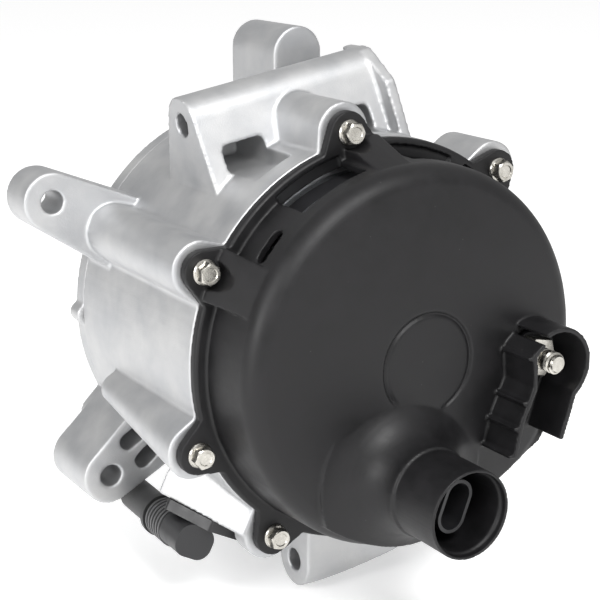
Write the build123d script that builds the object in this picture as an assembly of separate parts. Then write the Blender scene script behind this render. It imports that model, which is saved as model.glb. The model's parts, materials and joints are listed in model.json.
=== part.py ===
from build123d import *
import math
import os

# Vehicle alternator. +Y runs along the shaft from the pulley to the rear cover, +Z is up.
# The origin is on the shaft axis, in the plane of the middle pulley groove. Millimetres.

# Lengths along the shaft, measured from the belt plane
belt_to_front = 18.0          # belt plane to the front face of the drive end bracket
bracket_rim_depth = 9.0       # rim of the drive end bracket
housing_length = 89.3         # rear housing, from its seam with the bracket to the cover seat
flange_thickness = 3.7        # flange of the rear cover
dome_height = 31.6            # from the top of the flange to the middle of the cover's face

# Radii of the turned parts of the casings
housing_radius = 75.0
bracket_radius = 74.6
cover_radius = 74.8
housing_wall = 4.5
stator_wall = 7.0             # housing wall where it grips the stator
end_wall = 4.5                # end walls of the bracket and of the rear housing
cover_wall = 2.5

# Named clearances
press_gap = 0.02              # pressed seats: modelled just clear
running_gap = 0.05            # shaft and nut fits
slide_gap = 0.15              # brushes in their guides
clear_gap = 0.4               # parts that pass each other
air_gap = 0.5                 # rotor to stator
face_gap = 0.02

# Cover screws on one circle
screw_circle = 79.0
screw_angles = [27.0, 80.5, 132.4, 189.5, 246.6, 303.6, 338.7]
screw_shank = 2.5             # M5
screw_head_flats = 7.0        # small series
screw_head_height = 3.6
screw_flange_radius = 4.5
screw_flange_height = 1.0
screw_length = 16.0
boss_radius = 10.2
boss_tip, boss_turn = 5.5, 3.8  # front end of the last boss
pad_radius = 7.4
pad_root = 13.5               # half width of a cover pad where it meets the flange
boss_lengths = [86.0, 60.0, 26.0, 86.0, 86.0, 9.0, 64.0]

# Mounting ears whose holes run along the shaft
ear_tip_radius = 11.0
ear_a_radius, ear_a_angle = 105.6, 27.7
ear_a_rear, ear_a_front = 47.0, 29.0
ear_b_radius, ear_b_angle = 97.4, -35.6
ear_b_rear, ear_b_front = 58.0, 27.0
ear_hole = 4.25               # for an M8 bolt
ear_root = 15.0
pocket_radius, pocket_width, pocket_depth = 82.0, 6.6, 12.0
pocket_angles = [-31.8, -38.9]

# Lower bar with a hole along X
ear_c_face = 27.0
ear_c_tail = -14.0
ear_c_y, ear_c_z = 105.6, -85.0
ear_c_tip = 10.2
ear_c_slope = 12.0
ear_c_hole, ear_c_depth = 4.25, 18.0    # thread M10

# Upper bar, tilted about the shaft, with a hole along its own length
bar_tilt = 10.0
bar_half_length = 40.5
bar_hole_y, bar_hole_z = 75.0, 86.0
bar_tip = 10.3
bar_slope = 18.5              # draft of the bar's rear flank
bar_windows = [(16.0, 33.2), (-29.5, -17.0)]
bar_window_z, bar_window_height = 73.2, 10.0
bar_rib = 4.5                 # end rib, and its outline in Y and Z
bar_rib_outline = [(66.0, 96.0), (79.1, 96.1), (92.8, 85.1), (99.5, 61.0), (75.0, 61.0)]

# Front lug above the bar, hole along the shaft
lug_x, lug_z, lug_radius = -3.0, 98.4, 10.4
lug_rear = 60.0
lug_hole = 3.3

# Shaft and bearings
shaft_radius = 8.5
shaft_rear_radius = 7.5
front_bearing_outer = 23.5    # 17 x 47 x 14
front_bearing_width = 14.0
rear_bearing_outer = 17.5     # 15 x 35 x 11
rear_bearing_width = 11.0
race_share = 0.30             # a race's thickness as a share of the bearing's section
ball_count = 8
cage_thickness = 1.6

# Electrical machine
stator_length = 34.0
stator_bore = 51.6
slot_count = 36
slot_depth = 11.0
slot_width = 4.2
winding_overhang = 9.0
rotor_half_gap = 12.5         # half the width of the field coil space
pole_disc = 8.0
claw_count = 6
claw_thickness = 7.0
coil_radius = 39.0
core_radius = 24.0
fan_radius = 49.0
fan_plate = 1.6
fan_blade_height = 5.4
fan_blades = 9

# Bracket bolts, bearing retainer and vents
bracket_bolt_circle = 80.2
bracket_bolt_angles = [27.7, 92.0, 152.0, 212.0, 272.0, 327.0]
rim_key_angle, rim_key_tip = -1.0, 4.0
bracket_bolt_shank = 2.5
bracket_bolt_length = 20.0
bracket_lug_tip, bracket_lug_root = 7.5, 9.0
vent_count = 10
retainer_circle = 31.0
retainer_first = 45.0
retainer_screw_count = 4
retainer_screw_radius = 2.0
retainer_screw_head = 2.2
retainer_thickness = 2.5
sleeve_wall = 1.2

# Rear cover
cover_inner_radius = 67.6
face_edge_radius = 62.0
disc_radius = 18.2
# Air windows in its side wall: angles from and to, heights above the flange from and to
cover_windows = [(53.5, 76.5, -1.2, 15.5), (93.0, 115.5, -1.2, 14.0), (121.0, 130.0, -1.2, 12.0),
                 (200.0, 222.0, -1.2, 15.0), (228.0, 240.0, -1.2, 12.0)]
window_reach = 72.4           # how far the windows cut into the flange
cover_ramps = [(20.0, 34.5), (78.0, 89.0)]   # angles of the raised pads beside two screws
ramp_profile = [(68.0, -1.0), (76.5, -1.0), (76.5, 1.0), (69.0, 21.0), (67.0, 21.0)]
disc_groove, disc_groove_depth = 1.5, 1.3
flat_angle, flat_reach, flat_from = -118.8, 62.1, 10.0   # flat on the dome for a tool

# Rectifier in the space under the cover
plate_inner, plate_outer = 27.0, 64.0
plate_thickness = 3.0
plate_from, plate_to = -30.0, 210.0
plate_gap = 9.4               # between the two diode plates
diode_circle, diode_radius, diode_height = 45.0, 6.35, 6.6
negative_diode_angles = [-3.0, 31.0, 65.0, 99.0, 133.0, 167.0]
positive_diode_angles = [-20.0, 14.0, 48.0, 82.0, 116.0, 150.0]
block_inner = 53.0
plate_screw_circle = 58.5
plate_screw_angles = [0.0, 72.0, 144.0]
plate_screw_radius = 2.0

# Regulator and brush holder
holder_half_width, holder_top, holder_bottom = 8.0, -9.4, -30.2
regulator_half_width, regulator_top, regulator_bottom = 21.0, -35.0, -63.0
regulator_depth, regulator_height = 3.0, 15.0   # front face below the flange's top, and length

# Pulley
pulley_radius = 28.0
pulley_grooves = 6
groove_pitch = 3.56           # ribbed belt, PK section
groove_depth = 2.6
pulley_wall = 4.0
nut_flats = 24.0
nut_height = 9.0
pulley_recess = 11.0
spacer_wall = 3.9
spacer_clearance = 0.6         # round the spacer where it passes the bracket

# Slip rings and brushes
slip_ring_radius = 7.2
slip_core_radius = 4.6
slip_insulation = 1.2
slip_ring_width = 5.5
slip_ring_pitch = 8.0
brush_width, brush_depth, brush_length = 6.5, 4.8, 11.0
brush_travel = 3.0
brush_spring_radius = 2.1
brush_spring_wire = 0.35

# Output terminal
stud_x, stud_z = -45.7, -3.4
stud_radius = 4.0             # M8
mated_radius = 3.4            # root of the same thread, where it sits in its nut
stud_head_radius, stud_head_height = 6.2, 3.6
stud_nut_flats, stud_nut_height = 13.0, 6.0
stud_top = 46.5               # above the flange's top, as the shroud's rim
shroud_wall = 1.8
shroud_radius = 14.4
shroud_rim = 47.0
shroud_x, shroud_z = -46.0, -4.3
shroud_from, shroud_to = 64.0, 234.0
shroud_tail = (-48.7, -31.4)
shroud_left = [(-38.4, 4.4), (-34.9, 1.6), (-35.6, -10.3), (-30.1, -22.5), (-27.6, -34.2)]
shroud_rib_heights = [0.4, -15.6, -24.6, -34.6]
shroud_rib_proud = 1.6
washer_thickness = 2.2

# Round port with its oval connector
port_x, port_z = 9.45, -40.0
port_radius, port_wall = 15.7, 1.9
port_top = 69.3
port_sink = 1.6               # how far the flare starts below the middle of the face
port_step_radius = 16.5
port_flare = 17.0             # radius of the flare into the face
port_floor_depth = 1.6        # floor of the port below the middle of the face
guard_length, guard_width, guard_wall = 19.0, 11.2, 1.2
guard_top = 60.5
guard_turn = 21.0

# Side connector under a flat seat of the housing. Its own frame is turned about the shaft,
# so that X runs along the seat and Z points into the casing
plug_turn = 28.3
plug_seat_z = -83.4
plug_seat_left, plug_seat_right = -1.0, 36.9
plug_seat_front = 83.0
plug_seat_narrow = 17.5       # the seat's far edge where it meets the cover
plug_plate = 4.0
plug_middle = 25.0            # centre of the plug at its rear end
plug_width, plug_height = 15.0, 12.3
plug_length = 15.0
plug_base_left, plug_base_rear = 8.0, 105.0
plug_base_setback = 4.0
plug_skew = -4.0
plug_rear = 101.0
plug_collar_length = 15.0
plug_ribs, plug_rib_pitch = 6, 2.3
plug_collar_radius = 7.6
plug_boot_radius = 6.4
plug_boot_length = 29.0

# Places worked out from the lengths above
front_face = belt_to_front
seam = front_face + bracket_rim_depth
seat = seam + housing_length
flange_top = seat + flange_thickness
bracket_wall_rear = front_face + end_wall
front_bearing_start = bracket_wall_rear - 3.0
front_bearing_end = front_bearing_start + front_bearing_width
rear_wall_front = seat - 8.0
rear_wall_rear = rear_wall_front + end_wall
rear_bearing_end = rear_wall_rear - 1.5
rear_bearing_start = rear_bearing_end - rear_bearing_width
stator_radius = housing_radius - stator_wall
stator_middle = (front_bearing_end + rear_bearing_start) / 2
stator_start = stator_middle - stator_length / 2
stator_end = stator_middle + stator_length / 2
rotor_radius = stator_bore - air_gap
pole_front = stator_middle - rotor_half_gap - pole_disc
pole_rear = stator_middle + rotor_half_gap + pole_disc
slip_ring_start = flange_top + 3.0
shaft_end = slip_ring_start + slip_ring_pitch + slip_ring_width + 2.0
pulley_half = (pulley_grooves * groove_pitch + 3.0) / 2
shaft_front = -pulley_half - nut_height + 4.0
dome_middle = flange_top + dome_height
stud_seat = dome_middle - 3.0
port_step = dome_height - port_sink + port_flare
port_floor = dome_height - port_floor_depth
regulator_front = flange_top - regulator_depth
regulator_rear = regulator_front + regulator_height
spacer_radius = shaft_radius + spacer_wall
spacer_hole = spacer_radius + spacer_clearance
wall_top = dome_middle - 11.6   # where the cover's side wall turns into the face
face_edge = dome_middle - 3.4   # height of the face at its rim
nut_base = stud_seat + washer_thickness + 2 * face_gap
nut_top = nut_base + stud_nut_height
negative_front = rear_wall_rear + face_gap
negative_rear = negative_front + plate_thickness
positive_front = negative_rear + plate_gap
positive_rear = positive_front + plate_thickness
plug_top = plug_seat_z - plug_plate
plug_axis_z = plug_top - plug_height / 2


def turned(points, x=0.0, z=0.0):
    """Solid of revolution about a line parallel to the shaft, from (radius, y) points."""
    profile = make_face(Polyline(*points, close=True))
    return Pos(x, 0, z) * revolve(profile, axis=Axis.Y)


def rod(radius, y0, y1, x=0.0, z=0.0):
    """Round bar parallel to the shaft."""
    bar = Cylinder(radius, y1 - y0, align=(Align.CENTER, Align.CENTER, Align.MIN))
    return Pos(x, y0, z) * Rot(-90, 0, 0) * bar


def ring(outer, inner, y0, y1, x=0.0, z=0.0):
    """Tube parallel to the shaft."""
    return turned([(inner, y0), (outer, y0), (outer, y1), (inner, y1)], x, z)


def slab(outline, y0, y1):
    """Outline drawn in X and Z, given a thickness along the shaft."""
    sheet = Plane(origin=(0, y1, 0), x_dir=(1, 0, 0), z_dir=(0, -1, 0))
    return extrude(sheet * outline, y1 - y0)


def block(x0, x1, y0, y1, z0, z1):
    """Box between two corners."""
    return Pos(x0, y0, z0) * Box(x1 - x0, y1 - y0, z1 - z0, align=(Align.MIN, Align.MIN, Align.MIN))


def polar(radius, angle):
    """Point in X and Z at a radius and an angle from +X towards +Z."""
    return radius * math.cos(math.radians(angle)), radius * math.sin(math.radians(angle))


def about_shaft(shape, angle):
    """Turn a shape about the shaft, from +X towards +Z."""
    return Rot(0, -angle, 0) * shape


def together(shapes):
    """Fuse a list of shapes into one."""
    whole = shapes[0]
    for shape in shapes[1:]:
        whole = whole + shape
    return whole


def group(shapes):
    """Separate solids kept side by side in one part."""
    return Compound(children=[solid for shape in shapes for solid in shape.solids()])


def hexagon(flats, y0, y1, x=0.0, z=0.0, turn=0.0):
    """Hexagonal prism parallel to the shaft."""
    outline = Pos(x, z) * Rot(0, 0, turn) * RegularPolygon(flats / math.sqrt(3), 6)
    return slab(outline, y0, y1)


def tongue(radius, angle, tip, root, foot):
    """Outline of an ear: a round tip joined to a wide foot on the casing."""
    tip_circle = Pos(radius, 0) * Circle(tip)
    foot_bar = Pos(foot, 0) * Rectangle(1.0, 2 * root)
    edges = tip_circle.edges() + foot_bar.edges()
    return Rot(0, 0, angle) * make_hull(edges)


# ---- casings ------------------------------------------------------------------------------

def screw_boss(angle, y0, y1):
    """Boss of one cover screw, blended down to the casing."""
    return slab(tongue(screw_circle, angle, boss_radius, boss_radius + 2.0, housing_radius - 5.0), y0, y1)


def tapered_boss(y0, y1):
    """Boss of the last cover screw, which narrows and turns aside towards the front."""
    foot = housing_radius - 5.0
    wide = tongue(screw_circle, screw_angles[-1], boss_radius, boss_radius + 2.0, foot)
    narrow = tongue(screw_circle - 1.0, screw_angles[-1] + boss_turn, boss_tip, boss_tip + 2.0, foot)
    ends = [Plane(origin=(0, y, 0), x_dir=(1, 0, 0), z_dir=(0, -1, 0)) * outline
            for y, outline in ((y0, narrow), (y1, wide))]
    return loft(ends)


def bracket_lug(angle, foot):
    """Outline of the lug round one bracket bolt."""
    return tongue(bracket_bolt_circle, angle, bracket_lug_tip, bracket_lug_root, foot)


def drive_end_bracket():
    """Front casing: rim, vented wall and bearing seat."""
    rim_inner = bracket_radius - housing_wall
    body = turned([
        (spacer_hole, front_face), (bracket_radius - 2.0, front_face),
        (bracket_radius, front_face + 2.0), (bracket_radius, seam), (rim_inner, seam),
        (rim_inner, bracket_wall_rear), (front_bearing_outer + 4.5, bracket_wall_rear),
        (front_bearing_outer + 4.5, front_bearing_end), (front_bearing_outer + press_gap, front_bearing_end),
        (front_bearing_outer + press_gap, front_bearing_start), (spacer_hole, front_bearing_start)])
    for angle in bracket_bolt_angles:
        lug = slab(bracket_lug(angle, bracket_radius - 3.0), front_face + 2.0, seam)
        body = body + (lug - rod(rim_inner, front_face, seam))
        body = body - rod(bracket_bolt_shank + running_gap, 0, seam, *polar(bracket_bolt_circle, angle))
    key = slab(tongue(bracket_radius - 1.5, rim_key_angle, rim_key_tip,
                      rim_key_tip + 2, bracket_radius - 6.0),
               front_face + 1.0, seam)
    body = body + (key - rod(rim_inner, front_face, seam))
    for step in range(vent_count):
        body = body - vent(360 / vent_count * step, 42.0, 64.0, front_face, bracket_wall_rear)
    for step in range(retainer_screw_count):
        angle = retainer_first + 360 / retainer_screw_count * step
        x, z = polar(retainer_circle, angle)
        body = body + rod(4.5, bracket_wall_rear - 1.0, front_bearing_end, x, z)
        body = body - rod(retainer_screw_radius + running_gap,
                          front_bearing_end - 9.0, front_bearing_end, x, z)
    return body


def vent(angle, inner, outer, y0, y1):
    """Cutter for one air slot in an end wall."""
    half = 360 / vent_count / 2 - 6.0
    points = [polar(inner, -half), polar(outer, -half), polar(outer, 0), polar(outer, half),
              polar(inner, half), polar(inner, 0)]
    face = make_face([Line(points[0], points[1]), ThreePointArc(points[1], points[2], points[3]),
                      Line(points[3], points[4]), ThreePointArc(points[4], points[5], points[0])])
    return about_shaft(slab(face, y0 - 1.0, y1 + 1.0), angle)


def upper_bar():
    """Tangential bar on top, hollowed by two windows, in the shaft's frame."""
    slope = math.tan(math.radians(bar_slope))
    foot = housing_radius - 14.0
    drop = bar_hole_z - foot
    lean = bar_tip / math.cos(math.radians(bar_slope))
    tip = Pos(bar_hole_y, bar_hole_z) * Circle(bar_tip)
    half = lean + drop * slope
    base = Pos(bar_hole_y, foot) * Rectangle(2 * half, 0.5)
    outline = make_hull(tip.edges() + base.edges())
    bar = extrude(Plane.YZ * outline, bar_half_length, both=True)
    rib = extrude(Plane.YZ * make_face(Polyline(*bar_rib_outline, close=True)), bar_rib)
    return Rot(0, bar_tilt, 0) * (bar + Pos(-bar_half_length, 0, 0) * rib)


def bar_window_cutters():
    """Two round-ended pockets under the bar, open to the rear."""
    cutters = []
    for x0, x1 in bar_windows:
        outline = Pos((x0 + x1) / 2, bar_window_z) * RectangleRounded(x1 - x0, bar_window_height, 2.5)
        pocket = slab(outline, bar_hole_y - 8.0, seat - 10.0)
        cutters.append(Rot(0, bar_tilt, 0) * pocket)
    return cutters


def front_lug():
    """Round lug at the top front, joined to the bar by a web."""
    x, z = lug_x, lug_z
    lug = rod(lug_radius, seam, lug_rear, x, z)
    web = block(x - lug_radius, x + lug_radius, seam, lug_rear, housing_radius - 4.0, z)
    return lug + web


def lower_bar():
    """Lower bar with its end face across X."""
    tip = Pos(ear_c_y, ear_c_z) * Circle(ear_c_tip)
    head = Pos(ear_c_y, housing_radius * -1 + 8.0) * Rectangle(2 * ear_c_tip, 1.0)
    outline = make_hull(tip.edges() + head.edges())
    sheet = Plane(origin=(ear_c_tail, 0, 0), x_dir=(0, 1, 0), z_dir=(1, 0, 0))
    bar = extrude(sheet * outline, ear_c_face - ear_c_tail)
    low = ear_c_z - ear_c_tip
    run = ear_c_face - ear_c_tail
    rise = run * math.tan(math.radians(ear_c_slope))
    wedge = make_face(Polyline((ear_c_face - 0.5, low - 5), (ear_c_face - 0.5, low),
                               (ear_c_tail, low + rise),
                               (ear_c_tail - 1, low + rise), (ear_c_tail - 1, low - 5), close=True))
    return bar - slab(wedge, ear_c_y - 20, ear_c_y + 20)


def plug_seat():
    """Flat-bottomed block on the casing that carries the side connector and one cover screw."""
    outline = make_face(Polyline(
        (plug_seat_left, plug_seat_z), (plug_seat_right, plug_seat_z), (plug_seat_right + 3.0, -71.5),
        (48.0, -60.0), (0, -60.0), (plug_seat_left, -70.0), close=True))
    beyond = Polyline((plug_seat_right, plug_seat_front), (plug_seat_narrow, seat), (90.0, seat),
                      (90.0, plug_seat_front), close=True)
    cutter = Pos(0, 0, -100.0) * extrude(make_face(beyond), 60.0)
    return about_shaft(slab(outline, plug_seat_front, seat) - cutter, plug_turn)


def ear(radius, angle, y0, y1, root):
    """Ear with a hole along the shaft."""
    return slab(tongue(radius, angle, ear_tip_radius, root, housing_radius - 8.0), y0, y1)


def rear_housing():
    """Main die-cast casing with its ears, bars and screw bosses."""
    inner = housing_radius - housing_wall
    grip = stator_radius + press_gap
    solid = rod(housing_radius, seam, seat)
    additions = [screw_boss(angle, seat - length, seat)
                 for angle, length in zip(screw_angles[:-1], boss_lengths[:-1])]
    additions.append(tapered_boss(seat - boss_lengths[-1], seat))
    additions.append(ear(ear_a_radius, ear_a_angle, ear_a_front, ear_a_rear, ear_root))
    additions.append(ear(ear_b_radius, ear_b_angle, ear_b_front, ear_b_rear, ear_root))
    additions.append(upper_bar())
    additions.append(front_lug())
    additions.append(lower_bar())
    additions.append(plug_seat())
    for angle in bracket_bolt_angles:
        additions.append(slab(bracket_lug(angle, housing_radius - 5.0), seam, seam + 16.0))
    body = together([solid] + additions)
    body = body - turned([
        (0, seam - 1), (grip, seam - 1), (grip, stator_end), (inner - 3.0, stator_end),
        (inner - 3.0, rear_wall_front), (0, rear_wall_front)])
    body = body - rod(inner, rear_wall_rear, seat + 1)
    body = body - rod(rear_bearing_outer - 3.0, rear_wall_front - 1, rear_wall_rear + 1)
    boss = ring(rear_bearing_outer + sleeve_wall + 5.0, rear_bearing_outer + sleeve_wall + press_gap,
                rear_bearing_start, rear_wall_front)
    body = body + boss
    body = body - rod(rear_bearing_outer + sleeve_wall + press_gap, rear_bearing_start - 1, rear_bearing_end)
    for step in range(vent_count):
        body = body - vent(360 / vent_count * step + 18.0, 34.0, 60.0, rear_wall_front, rear_wall_rear)
    for angle in screw_angles:
        body = body - rod(screw_shank + running_gap, seat - screw_length, seat + 1,
                          *polar(screw_circle, angle))
    for angle in bracket_bolt_angles:
        body = body - rod(bracket_bolt_shank + running_gap, seam - 1, seam + 15.0,
                          *polar(bracket_bolt_circle, angle))
    for radius, angle, y0, y1 in ((ear_a_radius, ear_a_angle, ear_a_front, ear_a_rear),
                                  (ear_b_radius, ear_b_angle, ear_b_front, ear_b_rear)):
        x, z = polar(radius, angle)
        body = body - rod(ear_hole, y0 - 1, y1 + 1, x, z)
    for angle in pocket_angles:
        slot = Pos(pocket_radius, 0) * RectangleRounded(11.0, pocket_width, 3.0)
        body = body - slab(Rot(0, 0, angle) * slot, ear_b_rear - pocket_depth, ear_b_rear + 1)
    for angle in plate_screw_angles:
        body = body - rod(plate_screw_radius + running_gap, rear_wall_front - 1, rear_wall_rear + 1,
                          *polar(plate_screw_circle, angle))
    blind = Pos(ear_c_face - ear_c_depth / 2, ear_c_y, ear_c_z) * Rot(0, 90, 0)
    body = body - blind * Cylinder(ear_c_hole, ear_c_depth)
    through = Rot(0, bar_tilt, 0) * Pos(0, bar_hole_y, bar_hole_z) * Rot(0, 90, 0)
    body = body - through * Cylinder(ear_hole, 2 * bar_half_length + 2)
    for cutter in bar_window_cutters():
        body = body - cutter
    body = body - rod(lug_hole, seam - 1, lug_rear - 8.0, lug_x, lug_z)
    return body


# ---- rear cover ---------------------------------------------------------------------------

def cover_shell():
    """Flange, side wall and gently domed face, with a groove round the middle disc."""
    top = dome_middle
    outer = [Line((cover_inner_radius, seat), (cover_radius, seat)),
             Line((cover_radius, seat), (cover_radius, flange_top - 0.8)),
             Line((cover_radius, flange_top - 0.8), (cover_radius - 0.8, flange_top)),
             Line((cover_radius - 0.8, flange_top), (70.2, flange_top)),
             Line((70.2, flange_top), (69.3, wall_top)),
             ThreePointArc((69.3, wall_top), (67.2, wall_top + 5.8), (face_edge_radius, face_edge)),
             ThreePointArc((face_edge_radius, face_edge), (31.0, top - 0.9), (0, top))]
    inner = [Line((0, top), (0, top - cover_wall)),
             ThreePointArc((0, top - cover_wall), (31.0, top - cover_wall - 0.9),
                           (face_edge_radius - 1.0, face_edge - cover_wall)),
             Line((face_edge_radius - 1.0, face_edge - cover_wall), (66.6, wall_top - 1.0)),
             Line((66.6, wall_top - 1.0), (cover_inner_radius, seat))]
    shell = revolve(make_face(outer + inner), axis=Axis.Y)
    half = disc_groove / 2
    groove = ring(disc_radius + half, disc_radius - half, top - disc_groove_depth, top + 1.0)
    return shell - groove


def cover_pad(angle, y0, y1):
    """Rounded lug of the cover flange under one screw."""
    return slab(tongue(screw_circle, angle, pad_radius, pad_root, cover_radius - 6.5), y0, y1)


def port():
    """Round socket that flares out of the face."""
    foot = flange_top + port_step - port_flare
    step = flange_top + port_step
    edges = [Line((0, foot - 4.0), (port_step_radius + port_flare, foot - 4.0)),
             Line((port_step_radius + port_flare, foot - 4.0), (port_step_radius + port_flare, foot)),
             ThreePointArc((port_step_radius + port_flare, foot),
                           (port_step_radius + port_flare * (1 - math.sqrt(0.5)),
                            step - port_flare * math.sqrt(0.5)),
                           (port_step_radius, step)),
             Line((port_step_radius, step), (port_radius, step)),
             Line((port_radius, step), (port_radius, flange_top + port_top)),
             Line((port_radius, flange_top + port_top), (0, flange_top + port_top)),
             Line((0, flange_top + port_top), (0, foot - 4.0))]
    flare = Pos(port_x, 0, port_z) * revolve(make_face(edges), axis=Axis.Y)
    limit = rod(66.4, seat, flange_top + port_step) + rod(port_radius + 1.0, flange_top + port_step - 1,
                                                          flange_top + port_top + 1, port_x, port_z)
    return flare & limit


def port_bore():
    """Bore of the socket, with a shallow lead-in at its rim."""
    bore = port_radius - port_wall
    return turned([(0, flange_top + port_floor), (bore - 0.6, flange_top + port_floor),
                   (bore, flange_top + port_top - 3.0), (bore + 0.9, flange_top + port_top - 2.4),
                   (bore + 0.9, flange_top + port_top + 1), (0, flange_top + port_top + 1)], port_x, port_z)


def guard_outline(grow):
    """Obround outline of the oval connector."""
    return Pos(port_x, port_z) * Rot(0, 0, 90 + guard_turn) * SlotOverall(guard_length + 2 * grow,
                                                                        guard_width + 2 * grow)


def wall_along(points, thickness, y0, y1):
    """Upright wall along a path in X and Z."""
    strips = []
    for start, end in zip(points[:-1], points[1:]):
        length = math.dist(start, end)
        angle = math.degrees(math.atan2(end[1] - start[1], end[0] - start[0]))
        middle = ((start[0] + end[0]) / 2, (start[1] + end[1]) / 2)
        strip = Pos(*middle) * Rot(0, 0, angle) * SlotOverall(length + thickness, thickness)
        strips.append(slab(strip, y0, y1))
    return together(strips)


def stud_shroud():
    """Two moulded walls that guard the output stud, open at the bottom."""
    y0 = dome_middle - 7.6
    y1 = flange_top + shroud_rim
    middle = shroud_radius - shroud_wall / 2
    points = []
    for step in range(9):
        angle = shroud_from + (shroud_to - shroud_from) * step / 8
        x, z = polar(middle, angle)
        points.append((shroud_x + x, shroud_z + z))
    arc = ring(shroud_radius, shroud_radius - shroud_wall, y0, y1, shroud_x, shroud_z)
    reach = [(shroud_x + 3 * (x - shroud_x), shroud_z + 3 * (z - shroud_z)) for x, z in points]
    keep = make_face(Polyline((shroud_x, shroud_z), *reach, close=True))
    walls = arc & slab(keep, y0, y1)
    walls = walls + wall_along([points[-1], shroud_tail], shroud_wall, y0, y1)
    walls = walls + wall_along(shroud_left, shroud_wall, y0, y1)
    for z in shroud_rib_heights:
        x = shroud_left_x(z)
        walls = walls + block(x, x + shroud_wall / 2 + shroud_rib_proud, y0, y1 - 0.6, z - 0.6, z + 0.6)
    return walls


def shroud_left_x(z):
    """X of the left wall's middle at a height."""
    for (x0, z0), (x1, z1) in zip(shroud_left[:-1], shroud_left[1:]):
        if z1 <= z <= z0:
            return x0 + (x1 - x0) * (z - z0) / (z1 - z0)
    return shroud_left[-1][0]


def rear_cover():
    """Black moulded cover with its screw pads, vents, port and stud shroud."""
    pads = [cover_pad(angle, seat, flange_top) for angle in screw_angles]
    inside = rod(cover_inner_radius, seat, flange_top)
    body = cover_shell() + (together(pads) - inside)
    body = body + port() + stud_shroud()
    ramps = turned([(radius, flange_top + y) for radius, y in ramp_profile])
    for start, end in cover_ramps:
        body = body + (ramps & sector(60.0, 80.0, start, end, seat, dome_middle))
    for start, end, low, high in cover_windows:
        body = body - sector(cover_inner_radius - 6.0, window_reach, start, end,
                             flange_top + low, flange_top + high)
    body = body - slot_cutter()
    body = body + (rod(68.5, flange_top + flat_from, dome_middle - 4.6) & tool_flat(-cover_wall, 0))
    body = body - tool_flat(0, 40.0)
    body = body - port_bore() - slab(guard_outline(clear_gap), seat, flange_top + port_top)
    hollow = rod(cover_inner_radius - 2.0, seat, dome_middle - 6.6)
    body = body - (hollow & rod(port_step_radius + port_flare, seat, dome_middle - 6.6, port_x, port_z))
    for angle in screw_angles:
        body = body - rod(screw_shank + 0.25, seat - 1, flange_top + 1, *polar(screw_circle, angle))
        body = body - rod(screw_flange_radius + 1.4, flange_top + face_gap, flange_top + 12.0,
                          *polar(screw_circle, angle))
    body = body - rod(9.0, stud_seat, dome_middle + 4.0, stud_x, stud_z)
    return body - rod(stud_radius + 0.3, flange_top, dome_middle, stud_x, stud_z)


def tool_flat(low, high):
    """Slab parallel to the flat on the dome, between two distances from it."""
    slab_under = block(flat_reach + low, flat_reach + high,
                       flange_top + flat_from, dome_middle + 2.0, -40, 40)
    return about_shaft(slab_under, flat_angle)


def slot_cutter():
    """Small obround slot in the side wall beside the first screw."""
    slot = extrude(Plane.YZ * Pos(flange_top + 12.5, 0) * SlotOverall(13.0, 5.0, rotation=90), 90)
    return about_shaft(slot, 40.5) - rod(50.0, seat, dome_middle)


def cover_screws():
    """Hexagon flange screws of the cover."""
    screws = []
    for number, angle in enumerate(screw_angles):
        x, z = polar(screw_circle, angle)
        seat_y = flange_top + face_gap
        head_base = seat_y + screw_flange_height
        shank = rod(screw_shank, seat - screw_length + 2.0, seat_y + 0.01, x, z)
        flange = rod(screw_flange_radius, seat_y, head_base, x, z)
        head_top = head_base + screw_head_height
        head = hexagon(screw_head_flats, head_base - 0.01, head_top, x, z, 23.0 * number)
        screws.append(shank + flange + head)
    return group(screws)


# ---- bearings -----------------------------------------------------------------------------

def bearing(bore, outer, y0, width):
    """Races, balls and cage of one deep groove ball bearing."""
    race = (outer - bore) * race_share
    pitch = (bore + outer) / 2
    ball = pitch - bore - race + 0.9
    middle = y0 + width / 2
    track = Pos(0, middle, 0) * Rot(90, 0, 0) * Torus(pitch, ball + running_gap)
    inner = ring(bore + race, bore + press_gap, y0, y0 + width) - track
    outside = ring(outer, outer - race, y0, y0 + width) - track
    balls = []
    pockets = []
    for step in range(ball_count):
        angle = 360 / ball_count * step
        x, z = polar(pitch, angle)
        balls.append(Pos(x, middle, z) * Sphere(ball))
        pocket = Pos(pitch, middle, 0) * Rot(0, 90, 0) * Cylinder(ball + slide_gap, 4 * cage_thickness)
        pockets.append(about_shaft(pocket, angle))
    half = cage_thickness / 2
    cage = ring(pitch + half, pitch - half, middle - ball - 1.0, middle + ball + 1.0)
    return inner, outside, group(balls), cage.cut(*pockets)


def bearing_retainer():
    """Plate that holds the front bearing in the bracket."""
    plate = ring(retainer_circle + 5.0, front_bearing_outer - 3.0, front_bearing_end,
                 front_bearing_end + retainer_thickness)
    for step in range(retainer_screw_count):
        x, z = polar(retainer_circle, retainer_first + 360 / retainer_screw_count * step)
        plate = plate - rod(retainer_screw_radius + 0.2, front_bearing_end - 1, front_bearing_end + 5, x, z)
    return plate


def retainer_screws():
    """Pan head screws of the retainer."""
    screws = []
    base = front_bearing_end + retainer_thickness + face_gap
    for step in range(retainer_screw_count):
        x, z = polar(retainer_circle, retainer_first + 360 / retainer_screw_count * step)
        shank = rod(retainer_screw_radius, front_bearing_end - 8.0, base + 0.01, x, z)
        head = rod(3.6, base, base + retainer_screw_head, x, z)
        drive = rod(1.3, base + 1.0, base + 3.0, x, z)
        screws.append(shank + head - drive)
    return group(screws)


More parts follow.
